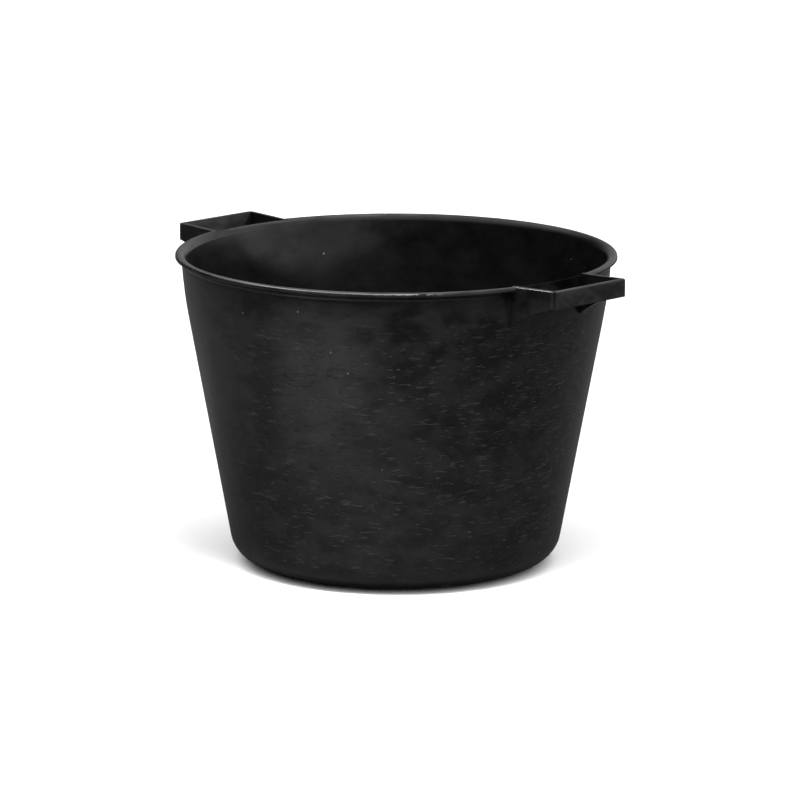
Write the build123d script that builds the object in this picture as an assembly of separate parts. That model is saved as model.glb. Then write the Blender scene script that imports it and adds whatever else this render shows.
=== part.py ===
from build123d import *
import os
from math import atan, cos, pi, sin, sqrt

# Tub, turned about the Z axis and standing on the ground at Z = 0
rim_radius = 198.0  # widest edge of the lip
rim_height = 282.0  # top of the lip above the ground
base_radius = 145.0  # where the line of the slanted wall meets the underside of the floor
wall = 4.5  # level thickness of the wall at its base, from where it grows towards the mouth
floor_thickness = 5.0
heel_radius = 27.0  # outer round between floor and wall
collar_height = 46.0  # band under the lip, where the outside of the wall bends upright
collar_draw = 2.7  # how far that bend draws the top of the collar in from the line of the wall

# Lip, which turns outwards round the mouth
lip_height = 11.0  # from the top of the collar to the top of the lip
lip_overhang = 6.0  # how far the lip stands out from the collar
lip_width = 9.0  # from the mouth to the widest edge of the lip
lip_edge = 3.4  # upright outer edge of the lip
lip_rise = 4.0  # how far the underside of the lip rises from the collar to that edge
crest_round = 2.4  # round at the top of that edge
mouth_round = 7.0  # round from the top of the lip into the mouth
neck_round = 2.5  # round under the lip, where it meets the collar

# Standing ring under the floor
foot_height = 2.5
foot_width = 10.0
foot_inset = 11.0  # from the start of the heel to the ring

# Loop handles, one at each end of the X axis
handle_width = 92.0  # over both cheeks
slot_depth = 40.5  # clear gap for the fingers, from collar to grip
grip_height = 16.0
grip_thickness = 4.5
grip_rise = 1.5  # top of the grip above the lip
grip_round = 1.2  # rounds along the outer edges of grip and cheeks
corner_round = 2.5  # upright outer corners of the grip
groove_width = 2.6  # groove down each of those corners
groove_depth = 2.5
cheek_thickness = 4.0
cheek_drop = 25.0  # from the foot of the lip to the lowest point of a cheek
cheek_hollow = 3.0  # sag of the hollow lower edge of a cheek
cheek_toe = 1.5  # how far the lowest end of a cheek stands out from the collar

# Heights and radii that follow from those sizes
lip_foot = rim_height - lip_height
collar_foot = lip_foot - collar_height
collar_radius = rim_radius - lip_overhang
mouth_radius = rim_radius - lip_width
floor_top = foot_height + floor_thickness
inner_base_radius = base_radius - wall
inner_heel_radius = heel_radius - wall
pan_seam = max(foot_height + heel_radius, floor_top + inner_heel_radius)
outer_slope = (collar_radius + collar_draw - base_radius) / (lip_foot - foot_height)
inner_slope = (mouth_radius - inner_base_radius) / (rim_height - foot_height)
grip_back = collar_radius + slot_depth
grip_front = grip_back + grip_thickness
grip_top = rim_height + grip_rise
grip_foot = grip_top - grip_height
cheek_foot = lip_foot - cheek_drop
cheek_side = handle_width / 2


def outer_wall(height):
    return (base_radius + outer_slope * (height - foot_height), height)


def inner_wall(height):
    return (inner_base_radius + inner_slope * (height - foot_height), height)


def heel_arc(floor_height, radius, side, slope):
    # Three points of the round that touches the floor and one side of the slanted wall
    slant = atan(slope)
    centre_height = floor_height + radius
    centre_radius = side(centre_height)[0] - radius / cos(slant)
    halfway = (pi / 2 + slant) / 2
    return [
        (centre_radius + radius * cos(angle), centre_height - radius * sin(angle))
        for angle in (pi / 2, halfway, slant)
    ]


def outer_heel():
    return heel_arc(foot_height, heel_radius, outer_wall, outer_slope)


def inner_heel():
    return heel_arc(floor_top, inner_heel_radius, inner_wall, inner_slope)


def collar_outside():
    # Bend that leads on from the wall and ends at the foot of the lip
    return TangentArc(outer_wall(collar_foot), (collar_radius, lip_foot), tangent=(outer_slope, 1))


def turned(outline):
    return revolve(Plane.XZ * outline, Axis.Z)


def rounded(outline, corner, radius):
    return fillet(outline.vertices().sort_by_distance(corner)[0], radius)


def floor_pan():
    outer = outer_heel()
    inner = inner_heel()
    edges = [
        Line((0, foot_height), outer[0]),
        ThreePointArc(*outer),
        Polyline(outer[2], outer_wall(pan_seam), inner_wall(pan_seam), inner[2]),
        ThreePointArc(*reversed(inner)),
        Polyline(inner[0], (0, floor_top), (0, foot_height)),
    ]
    return turned(make_face(edges))


def foot_ring():
    outer_radius = outer_heel()[0][0] - foot_inset
    ring = Cylinder(outer_radius, foot_height, align=(Align.CENTER, Align.CENTER, Align.MIN))
    return ring - Cylinder(
        outer_radius - foot_width, foot_height, align=(Align.CENTER, Align.CENTER, Align.MIN)
    )


def tub_wall():
    outline = Polyline(
        inner_wall(pan_seam),
        outer_wall(pan_seam),
        outer_wall(collar_foot),
        inner_wall(collar_foot),
        close=True,
    )
    return turned(make_face(outline))


def collar_band():
    edges = [
        collar_outside(),
        Polyline((collar_radius, lip_foot), inner_wall(lip_foot), inner_wall(collar_foot), outer_wall(collar_foot)),
    ]
    return turned(make_face(edges))


def rim_lip():
    neck = (collar_radius, rim_height - lip_edge - lip_rise)
    edge = (rim_radius, rim_height - lip_edge)
    crest = (rim_radius, rim_height)
    mouth = (mouth_radius, rim_height)
    outline = make_face(
        Polyline(inner_wall(lip_foot), (collar_radius, lip_foot), neck, edge, crest, mouth, close=True)
    )
    outline = rounded(outline, neck, neck_round)
    outline = rounded(outline, crest, crest_round)
    outline = rounded(outline, mouth, mouth_round)
    return turned(outline) - slot_notches()


def slot_notches():
    # Both hand slots: the room between the cheeks' outer sides, out from the collar
    room = Pos(0, 0, lip_foot) * Box(
        2 * grip_front, handle_width, lip_height, align=(Align.CENTER, Align.CENTER, Align.MIN)
    )
    return room - tub_core()


def tub_core():
    # Solid tub without its lip, to seat the cheeks on
    edges = [
        Polyline((0, foot_height), (base_radius, foot_height), outer_wall(collar_foot)),
        collar_outside(),
        Polyline((collar_radius, lip_foot), (collar_radius, rim_height), (0, rim_height), (0, foot_height)),
    ]
    return turned(make_face(edges))


def grip():
    plan = Pos((grip_back + grip_front) / 2, 0) * Rectangle(grip_thickness, handle_width)
    for end in (-cheek_side, cheek_side):
        plan = rounded(plan, (grip_front, end), corner_round)
    plate = Pos(0, 0, grip_foot) * extrude(plan, grip_height)
    level_edges = plate.edges().filter_by(Plane.XY)
    outer_edges = level_edges.filter_by_position(Axis.X, grip_back, grip_front, inclusive=(False, True))
    plate = fillet(outer_edges, grip_round)
    for end in (-1, 1):
        plate -= corner_groove(end)
    return plate


def corner_groove(end):
    # Slot that looks out along the middle of a rounded corner, as deep as stated below the round
    inset = corner_round * (1 - sin(pi / 4))
    cut = Box(groove_depth * 2, groove_width, grip_height * 2)
    return Pos(grip_front - inset, end * (cheek_side - inset), grip_foot) * Rot(0, 0, end * 45) * cut


def front_cheek():
    # Plate on the -Y side, from the tub to the back of the grip
    root = collar_radius - cheek_side
    toe = (sqrt(outer_wall(cheek_foot)[0] ** 2 - cheek_side**2) + cheek_toe, cheek_foot)
    edges = [
        Polyline(
            (grip_back, grip_foot),
            (grip_back, grip_top),
            (collar_radius, rim_height),
            (root, rim_height),
            (root, cheek_foot),
            toe,
        ),
        SagittaArc(toe, (grip_back, grip_foot), cheek_hollow),
    ]
    plane = Plane.XZ.offset(cheek_side - cheek_thickness)
    plate = extrude(plane * make_face(edges), cheek_thickness)
    outer_side = plate.faces().sort_by(Axis.Y)[0]
    top_edges = outer_side.edges().filter_by_position(Axis.Z, rim_height, grip_top)
    return fillet(top_edges, grip_round) - tub_core()


pieces = {
    "floor_pan": floor_pan(),
    "foot_ring": foot_ring(),
    "tub_wall": tub_wall(),
    "collar_band": collar_band(),
    "rim_lip": rim_lip(),
}
right_handle = {"grip": grip(), "front_cheek": front_cheek()}
right_handle["rear_cheek"] = mirror(right_handle["front_cheek"], Plane.XZ)
for name, piece in right_handle.items():
    pieces["right_handle_" + name] = piece
    pieces["left_handle_" + name] = mirror(piece, Plane.YZ)

os.makedirs("parts", exist_ok=True)
for name, piece in pieces.items():
    export_step(piece, "parts/" + name + ".step")
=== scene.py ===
import bpy
import math
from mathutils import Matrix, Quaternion, Vector

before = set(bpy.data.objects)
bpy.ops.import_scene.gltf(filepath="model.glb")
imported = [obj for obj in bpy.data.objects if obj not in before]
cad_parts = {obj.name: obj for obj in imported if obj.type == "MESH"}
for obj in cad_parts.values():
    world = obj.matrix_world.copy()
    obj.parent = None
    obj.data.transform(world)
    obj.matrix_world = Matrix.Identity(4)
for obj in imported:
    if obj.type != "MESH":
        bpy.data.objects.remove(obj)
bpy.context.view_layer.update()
scene = bpy.context.scene
scene.view_settings.view_transform = "Standard"  # plain sRGB, so a grey is the grey that is set


# Camera

cameraSettings = {
    "azimuth": 44.7,  # degrees round from the -Y side
    "elevation": 12.12,
    "roll": 0.17,
    "distance": 4.736,
    "lens": 236.6,  # a long lens, so the tub is seen almost without perspective
    "sensorWidth": 36,
    "sightReach": 100,  # far enough to take in the whole floor
    "lookHeight": 0.1461,  # point on the axis of the tub that the camera faces
    "stepRight": 0.0037,  # the tub stands this far left of the middle of the picture
}


def towards(bearing, elevation):
    # Direction from the tub: bearing 0 is where the camera stands, 90 the right of the picture, 180 behind
    turn = math.radians(cameraSettings["azimuth"] + bearing)
    rise = math.radians(elevation)
    return Vector((math.sin(turn) * math.cos(rise), -math.cos(turn) * math.cos(rise), math.sin(rise)))


def makeCamera(settings):
    data = bpy.data.cameras.new("camera")
    data.lens = settings["lens"]
    data.sensor_width = settings["sensorWidth"]
    data.clip_end = settings["sightReach"]
    camera = bpy.data.objects.new("camera", data)
    scene.collection.objects.link(camera)
    back = towards(0, settings["elevation"])
    step = towards(90, 0) * settings["stepRight"]
    camera.location = Vector((0, 0, settings["lookHeight"])) + step + back * settings["distance"]
    camera.rotation_mode = "QUATERNION"
    turn = Quaternion((0, 0, 1), math.radians(settings["roll"]))
    camera.rotation_quaternion = (-back).to_track_quat("-Z", "Y") @ turn
    scene.camera = camera


makeCamera(cameraSettings)
print("camera: azimuth", cameraSettings["azimuth"], "elevation", cameraSettings["elevation"])


# Shader nodes, for the studio and the finish

def feed(tree, value, target):
    # Link the output of another node to a socket, or set the socket to a plain value
    if isinstance(value, bpy.types.NodeSocket):
        tree.links.new(value, target)
    else:
        target.default_value = value


def addNode(tree, kind, values={}, **options):
    # The values go to the sockets of the node, the options to the node itself
    node = tree.nodes.new("ShaderNode" + kind)
    for name, option in options.items():
        setattr(node, name, option)
    for name, value in values.items():
        feed(tree, value, node.inputs[name])
    return node


def calculate(tree, operation, first, second):
    return addNode(tree, "Math", {0: first, 1: second}, operation=operation).outputs["Value"]


def calculateVectors(tree, operation, first, second=(0, 0, 0)):
    # The outputs are the Vector and, for a product or a length, the Value
    return addNode(tree, "VectorMath", {0: first, 1: second}, operation=operation).outputs


def between(tree, value, limits, results=(0, 1), curve="SMOOTHSTEP"):
    # The first result up to the first limit, the second from the second limit on, and a ramp between them
    values = {"Value": value}
    values["From Min"], values["From Max"] = limits
    values["To Min"], values["To Max"] = results
    return addNode(tree, "MapRange", values, interpolation_type=curve).outputs["Result"]


def blend(tree, share, under, over):
    # The colour under where the share is 0, the colour over it where the share is 1
    mix = addNode(tree, "Mix", data_type="RGBA")
    sockets = {socket.identifier: socket for socket in mix.inputs}  # their names aren't unique
    feed(tree, share, sockets["Factor_Float"])
    feed(tree, under, sockets["A_Color"])
    feed(tree, over, sockets["B_Color"])
    return next(socket for socket in mix.outputs if socket.identifier == "Result_Color")


# Floor and sky

floorSettings = {
    "reach": 30.0,  # half the width of the floor
    "seen": (0.9, 0.9, 0.9, 1),  # to the camera the floor is pale paper
    "mirrored": (0.093, 0.093, 0.093, 1),  # in the moulding it is mirrored as a duller floor
    "roughness": 0.9,
    "shine": 0.0,
}


def makeFloor(settings):
    reach = settings["reach"]
    mesh = bpy.data.meshes.new("studioFloor")
    corners = [(-reach, -reach, 0), (reach, -reach, 0), (reach, reach, 0), (-reach, reach, 0)]
    mesh.from_pydata(corners, [], [(0, 1, 2, 3)])
    floor = bpy.data.objects.new("studioFloor", mesh)
    scene.collection.objects.link(floor)
    material = bpy.data.materials.new("palePaper")
    material.use_nodes = True
    tree = material.node_tree
    shader = tree.nodes["Principled BSDF"]
    shader.inputs["Roughness"].default_value = settings["roughness"]
    shader.inputs["Specular IOR Level"].default_value = settings["shine"]
    seen = addNode(tree, "LightPath").outputs["Is Camera Ray"]
    feed(tree, blend(tree, seen, settings["mirrored"], settings["seen"]), shader.inputs["Base Color"])
    mesh.materials.append(material)


skySettings = {
    "brightBearing": 104,  # the pale side of the room is on the right of the camera, the dark one on the left
    "dark": 0.02,
    "bright": 0.82,
    "darkUpTo": -0.5,  # cosine of the angle from the bright side
    "curve": 1.6,  # how slowly it brightens at first
    "overhead": 0.75,  # the ceiling, which the rounded mouth mirrors
    "ceiling": (0.3, 0.9),  # sines of the elevations where the ceiling starts and is full
    "seen": 1.0,  # what the camera itself sees past the edge of the floor
}


def makeSky(settings):
    world = bpy.data.worlds.new("studioRoom")
    scene.world = world
    world.use_nodes = True
    tree = world.node_tree
    background = tree.nodes["Background"]
    background.inputs["Color"].default_value = (1, 1, 1, 1)
    direction = addNode(tree, "TexCoord").outputs["Generated"]
    brightSide = towards(settings["brightBearing"], 0)
    nearness = calculateVectors(tree, "DOT_PRODUCT", direction, brightSide)["Value"]
    share = between(tree, nearness, (settings["darkUpTo"], 1), curve="LINEAR")
    share = calculate(tree, "POWER", share, settings["curve"])
    walls = between(tree, share, (0, 1), (settings["dark"], settings["bright"]), curve="LINEAR")
    height = addNode(tree, "SeparateXYZ", {"Vector": direction}).outputs["Z"]
    ceiling = between(tree, height, settings["ceiling"], (0, settings["overhead"]))
    room = calculate(tree, "MAXIMUM", walls, ceiling)
    seen = addNode(tree, "LightPath").outputs["Is Camera Ray"]
    strength = addNode(tree, "Mix", {"Factor": seen, "A": room, "B": settings["seen"]})
    feed(tree, strength.outputs["Result"], background.inputs["Strength"])


makeFloor(floorSettings)
makeSky(skySettings)
print("studio: floor and sky")


# Lights

def spotAt(bearing, distance, height):
    # Point that a light is turned to, at a level distance from the axis of the tub
    return towards(bearing, 0) * distance + Vector((0, 0, height))


def addLight(data, place, aim, mirrored):
    light = bpy.data.objects.new(data.name, data)
    light.visible_glossy = mirrored
    scene.collection.objects.link(light)
    light.location = place
    light.rotation_mode = "QUATERNION"
    light.rotation_quaternion = (aim - place).to_track_quat("-Z", "Y")


overheadSettings = {
    "bearing": 10,
    "elevation": 68,
    "spread": 110,  # wide, so the shadow on the floor is soft
    "strength": 3.8,
    "mirrored": False,  # it lights the floor, and the sky is what the moulding mirrors
}


def makeOverhead(settings):
    data = bpy.data.lights.new("overhead", "SUN")
    data.energy = settings["strength"]
    data.angle = math.radians(settings["spread"])
    addLight(data, towards(settings["bearing"], settings["elevation"]), Vector(), settings["mirrored"])


# Each lamp: its bearing, its watts, and the bearing and distance from the axis of the spot that it points at
arcSettings = {
    "lamps": [  # soft lamps close round the front left, for the shine on the rim
        (14, 0.09, 7, 0.21),
        (-4, 0.05, -2, 0.21),
        (-22, 0.05, -11, 0.21),
        (-40, 0.06, -20, 0.21),
        (-58, 0.06, -29, 0.21),
        (-76, 0.045, -38, 0.21),
        (-94, 0.016, -47, 0.21),
        (-130, 0.012, -66, 0.21),
    ],
    "spotHeight": 0.28,
    "elevation": 56,
    "distance": 0.8,
    "size": (0.15, 0.24),
    "spread": 36,  # narrow enough to miss the far side of the rim
    "mirrored": True,
}
poolSettings = {
    "lamps": [  # for the floor, which the wall mirrors
        (-88, 0.6, -92, 0.62),
        (-38, 3.7, -38, 0.58),
        (-8, 1.0, -8, 0.28),
        (54, 0.1, 54, 0.42),
    ],
    "spotHeight": 0,
    "elevation": 62,
    "distance": 1.0,
    "size": (0.3, 0.3),
    "spread": 40,
    "mirrored": False,
}
edgeSettings = {
    "lamps": [(-126, 0.02, 36, 0.22)],  # for the shine along the top of the near handle
    "spotHeight": 0.28,
    "elevation": 65,
    "distance": 1.01,
    "size": (0.14, 0.14),
    "spread": 14,
    "mirrored": True,
}


def makeLamps(name, settings):
    for number, (bearing, watts, spotBearing, spotDistance) in enumerate(settings["lamps"], start=1):
        data = bpy.data.lights.new(name + str(number), "AREA")
        data.shape = "RECTANGLE"
        data.size, data.size_y = settings["size"]
        data.energy = watts
        data.spread = math.radians(settings["spread"])
        place = towards(bearing, settings["elevation"]) * settings["distance"]
        addLight(data, place, spotAt(spotBearing, spotDistance, settings["spotHeight"]), settings["mirrored"])


insideSettings = {
    "bearing": 85,
    "elevation": 50,
    "distance": 1.0,
    "watts": 90,
    "spotBearing": -139.7,  # behind the far handle, so that the cone's edge slants down across the inside
    "spotDistance": 0.406,
    "spotHeight": 0.28,
    "spread": 20,
    "fade": 0.07,  # share of the cone that fades at its edge
    "size": 0.004,
    "mirrored": False,
}


def makeInsideSpot(settings):
    data = bpy.data.lights.new("insideSpot", "SPOT")
    data.energy = settings["watts"]
    data.spot_size = math.radians(settings["spread"])
    data.spot_blend = settings["fade"]
    data.shadow_soft_size = settings["size"]
    place = towards(settings["bearing"], settings["elevation"]) * settings["distance"]
    spot = spotAt(settings["spotBearing"], settings["spotDistance"], settings["spotHeight"])
    addLight(data, place, spot, settings["mirrored"])


makeOverhead(overheadSettings)
makeLamps("arcLamp", arcSettings)
makeLamps("poolLamp", poolSettings)
makeLamps("edgeLamp", edgeSettings)
makeInsideSpot(insideSettings)
print("lights:", len(bpy.data.lights))


# Finish

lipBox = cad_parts["rim_lip"].bound_box
lipTop = max(corner[2] for corner in lipBox)
lipRadius = max(corner[1] for corner in lipBox)  # across the handles, where the lip isn't cut back
rubbedDepth = 0.004  # hands rub the lip from its top down to this depth
handleGap = 0.002  # what stands this far outside the lip belongs to a handle

tubFinish = {
    "dark": (0.001, 0.001, 0.001, 1),  # deepest black between the patches
    "pale": (0.0085, 0.0085, 0.0087, 1),
    "roughness": (0.2, 0.25),  # between and on the patches
    "mottle": {"Patch Size": 0.028, "Swell Size": 0.04, "Grain Size": 0.0016, "Stretch": 1.5},
    "swellHeight": 0.0004,
    "grainHeight": 0.00003,
    "dash": {"Length": 0.012, "Thinness": 5, "Gather Size": 0.08, "Fade Height": 0.21},
    "dashHeight": 0.00015,
    "dashColour": (0.02, 0.02, 0.02, 1),  # raised dashes are rubbed paler
    "fleck": {"Spacing": 0.012, "Radius": 0.0009, "Share": 0.07},
    "fleckColour": (0.07, 0.07, 0.068, 1),
    "wear": {"Radius": 0.002, "Rim Height": lipTop - rubbedDepth, "Handle Start": lipRadius + handleGap},
    "wearColour": (0.012, 0.012, 0.012, 1),
    "dust": {"Patch Size": 0.05, "Stretch": 1.0},
    "dustColour": (0.03, 0.029, 0.027, 1),
}
# The grips' finish: the tub's, rougher, and with a paler colour that is painted light on the grips
handleFinishPaintedLight = {
    **tubFinish,
    "pale": (0.02, 0.02, 0.02, 1),  # paler than the tub's: painted light, so that the grips' faces look more brightly lit
    "roughness": (0.42, 0.55),
}


def newGroup(name, inputs, outputs):
    group = bpy.data.node_groups.new(name, "ShaderNodeTree")
    for label, value in inputs.items():
        group.interface.new_socket(label, in_out="INPUT", socket_type="NodeSocketFloat").default_value = value
    for label in outputs:
        group.interface.new_socket(label, in_out="OUTPUT", socket_type="NodeSocketFloat")
    return group, group.nodes.new("NodeGroupInput").outputs, group.nodes.new("NodeGroupOutput").inputs


def noise(tree, size, stretch, detail, roughness=0.6):
    # Noise over the tub, squeezed upright by the stretch so that its patches lie along the wall
    place = addNode(tree, "TexCoord").outputs["Object"]
    squeeze = addNode(tree, "CombineXYZ", {"X": 1, "Y": 1, "Z": stretch}).outputs["Vector"]
    values = {
        "Vector": calculateVectors(tree, "MULTIPLY", place, squeeze)["Vector"],
        "Scale": calculate(tree, "DIVIDE", 1, size),
        "Detail": detail,
        "Roughness": roughness,
    }
    return addNode(tree, "TexNoise", values).outputs[0]  # the plain value, not the colour


def heightAboveGround(tree):
    place = addNode(tree, "TexCoord").outputs["Object"]
    return addNode(tree, "SeparateXYZ", {"Vector": place}).outputs["Z"]


def awayFromAxis(tree):
    # Level vector from the axis of the tub
    place = addNode(tree, "TexCoord").outputs["Object"]
    return calculateVectors(tree, "MULTIPLY", place, (1, 1, 0))["Vector"]


def outerSide(tree):
    # 1 on faces that look away from the axis of the tub, 0 inside it
    normal = addNode(tree, "TexCoord").outputs["Normal"]
    outward = calculateVectors(tree, "DOT_PRODUCT", awayFromAxis(tree), normal)["Value"]
    return calculate(tree, "GREATER_THAN", outward, 0)


mottleSettings = {
    "outerPatches": (0.35, 0.65),  # noise where a patch starts and is full, on outer sides
    "innerPatches": (0.1, 0.9),  # further apart inside the tub, where the patches are fainter
    "patchDetail": 4,
    "swellDetail": 1,
    "grainDetail": 1,
}


def mottleGroup(settings):
    # Cloudy patches of the moulding, the slow swell of its surface and its fine grain
    group, given, result = newGroup("mottle", tubFinish["mottle"], ["Patches", "Swell", "Grain"])
    stretch = given["Stretch"]
    patches = noise(group, given["Patch Size"], stretch, settings["patchDetail"])
    faint = between(group, patches, settings["innerPatches"])
    stronger = calculate(group, "SUBTRACT", between(group, patches, settings["outerPatches"]), faint)
    stronger = calculate(group, "MULTIPLY", stronger, outerSide(group))
    feed(group, calculate(group, "ADD", faint, stronger), result["Patches"])
    feed(group, noise(group, given["Swell Size"], stretch, settings["swellDetail"]), result["Swell"])
    feed(group, noise(group, given["Grain Size"], stretch, settings["grainDetail"]), result["Grain"])
    return group


dashSettings = {
    "raised": (0.59, 0.68),  # noise where a raised dash starts and is full
    "sunk": (0.41, 0.32),
    "gathered": (0.26, 0.46),  # noise where dashes start to show and show in full
    "gatherStretch": 1,
    "fadeReach": 0.075,  # none are left this far above the height where they start to fade
    "detail": 2,
}


def dashGroup(settings):
    # Short level dashes on outer sides, some raised and some sunk, thick in some places and thin in others
    group, given, result = newGroup("dashes", tubFinish["dash"], ["Raised", "Sunk"])
    dashes = noise(group, given["Length"], given["Thinness"], settings["detail"])
    places = noise(group, given["Gather Size"], settings["gatherStretch"], settings["detail"])
    places = between(group, places, settings["gathered"])
    places = calculate(group, "MULTIPLY", places, outerSide(group))
    above = calculate(group, "SUBTRACT", heightAboveGround(group), given["Fade Height"])
    places = calculate(group, "MULTIPLY", places, between(group, above, (settings["fadeReach"], 0)))
    raised = calculate(group, "MULTIPLY", between(group, dashes, settings["raised"]), places)
    sunk = calculate(group, "MULTIPLY", between(group, dashes, settings["sunk"]), places)
    feed(group, raised, result["Raised"])
    feed(group, sunk, result["Sunk"])
    return group


def fleckGroup():
    # Small pale specks, in a share of the cells that they are scattered over
    group, given, result = newGroup("flecks", tubFinish["fleck"], ["Mask"])
    place = addNode(group, "TexCoord").outputs["Object"]
    scale = calculate(group, "DIVIDE", 1, given["Spacing"])
    cells = addNode(group, "TexVoronoi", {"Vector": place, "Scale": scale}).outputs
    reach = calculate(group, "DIVIDE", given["Radius"], given["Spacing"])
    near = calculate(group, "LESS_THAN", cells["Distance"], reach)
    lot = addNode(group, "SeparateColor", {"Color": cells["Color"]}).outputs["Red"]  # each cell draws its own
    chosen = calculate(group, "LESS_THAN", lot, given["Share"])
    feed(group, calculate(group, "MULTIPLY", near, chosen), result["Mask"])
    return group


wearSettings = {
    "turn": (0.995, 0.9),  # cosine of the turn of the normal where wear starts and is full
}


def wearGroup(settings):
    # Edges that get rubbed: where the normal turns within the radius, on top of the rim and on the handles
    group, given, result = newGroup("edgeWear", tubFinish["wear"], ["Mask"])
    softened = addNode(group, "Bevel", {"Radius": given["Radius"]}).outputs["Normal"]
    face = addNode(group, "NewGeometry").outputs["Normal"]
    turn = calculateVectors(group, "DOT_PRODUCT", softened, face)["Value"]
    onRim = calculate(group, "GREATER_THAN", heightAboveGround(group), given["Rim Height"])
    distance = calculateVectors(group, "LENGTH", awayFromAxis(group))["Value"]
    onHandles = calculate(group, "GREATER_THAN", distance, given["Handle Start"])
    touched = calculate(group, "MAXIMUM", onRim, onHandles)
    rubbed = between(group, turn, settings["turn"])
    feed(group, calculate(group, "MULTIPLY", touched, rubbed), result["Mask"])
    return group


dustSettings = {
    "upward": (0.6, 0.98),  # upward share of the normal where dust starts and is full
    "patches": (0.3, 0.7),  # noise where a patch of it starts and is full
    "detail": 5,
}


def dustGroup(settings):
    # Dust on faces that look up, in uneven patches
    group, given, result = newGroup("dust", tubFinish["dust"], ["Mask"])
    face = addNode(group, "NewGeometry").outputs["Normal"]
    upward = addNode(group, "SeparateXYZ", {"Vector": face}).outputs["Z"]
    patches = noise(group, given["Patch Size"], given["Stretch"], settings["detail"])
    lying = between(group, upward, settings["upward"])
    uneven = between(group, patches, settings["patches"])
    feed(group, calculate(group, "MULTIPLY", lying, uneven), result["Mask"])
    return group


finishGroups = {
    "mottle": mottleGroup(mottleSettings),
    "dash": dashGroup(dashSettings),
    "fleck": fleckGroup(),
    "wear": wearGroup(wearSettings),
    "dust": dustGroup(dustSettings),
}


def blackMoulding(name, settings):
    material = bpy.data.materials.new(name)
    material.use_nodes = True
    tree = material.node_tree
    shader = tree.nodes["Principled BSDF"]
    effects = {
        label: addNode(tree, "Group", settings[label], node_tree=group).outputs
        for label, group in finishGroups.items()
    }
    patches = effects["mottle"]["Patches"]
    colour = blend(tree, patches, settings["dark"], settings["pale"])
    for label, mask in {"dust": "Mask", "dash": "Raised", "wear": "Mask", "fleck": "Mask"}.items():
        colour = blend(tree, effects[label][mask], colour, settings[label + "Colour"])
    feed(tree, colour, shader.inputs["Base Color"])
    feed(tree, between(tree, patches, (0, 1), settings["roughness"]), shader.inputs["Roughness"])
    swell = calculate(tree, "MULTIPLY", effects["mottle"]["Swell"], settings["swellHeight"])
    grain = calculate(tree, "MULTIPLY", effects["mottle"]["Grain"], settings["grainHeight"])
    dashes = calculate(tree, "SUBTRACT", effects["dash"]["Raised"], effects["dash"]["Sunk"])
    dashes = calculate(tree, "MULTIPLY", dashes, settings["dashHeight"])
    height = calculate(tree, "ADD", calculate(tree, "ADD", swell, grain), dashes)
    bump = addNode(tree, "Bump", {"Strength": 1, "Distance": 1, "Height": height})  # heights are in metres
    feed(tree, bump.outputs["Normal"], shader.inputs["Normal"])
    return material


tubMoulding = blackMoulding("tubMoulding", tubFinish)
handleMouldingPaintedLight = blackMoulding("handleMouldingPaintedLight", handleFinishPaintedLight)
for name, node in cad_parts.items():
    node.data.materials.clear()
    node.data.materials.append(handleMouldingPaintedLight if name.endswith("grip") else tubMoulding)
print("finish:", len(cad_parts), "nodes in", tubMoulding.name, "and", handleMouldingPaintedLight.name)
